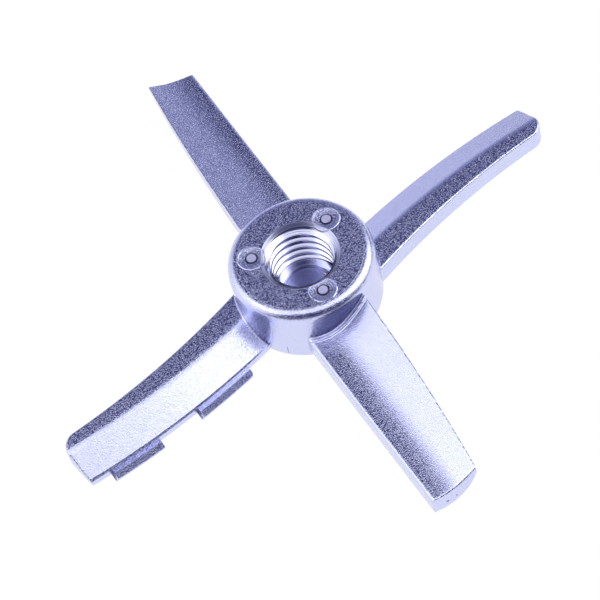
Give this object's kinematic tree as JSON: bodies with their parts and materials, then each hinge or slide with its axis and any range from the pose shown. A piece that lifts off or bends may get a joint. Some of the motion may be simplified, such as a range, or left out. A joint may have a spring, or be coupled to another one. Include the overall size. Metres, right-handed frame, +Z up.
{
  "type": "ice cream maker paddle",
  "caption": "Cast ice cream maker paddle with a threaded blind hub, straight hollowed scoop arms, and curved wedge arms with a scraper rail and small tabs.",
  "frame": {"origin": "centre of the hub's flat base, on the axis that the paddle turns about", "axes": "+Z up along the hub's axis, out of the threaded bore's mouth; +X along the plain curved arm; -X along the curved arm with the rail and tabs; +Y and -Y along the straight arms"},
  "size_m": [0.1592, 0.16, 0.0184],
  "materials": {
    "metal": "fine-grained cast metal"
  },
  "bodies": {
    "root": {"paddle": "metal"}
  },
  "joints": []
}
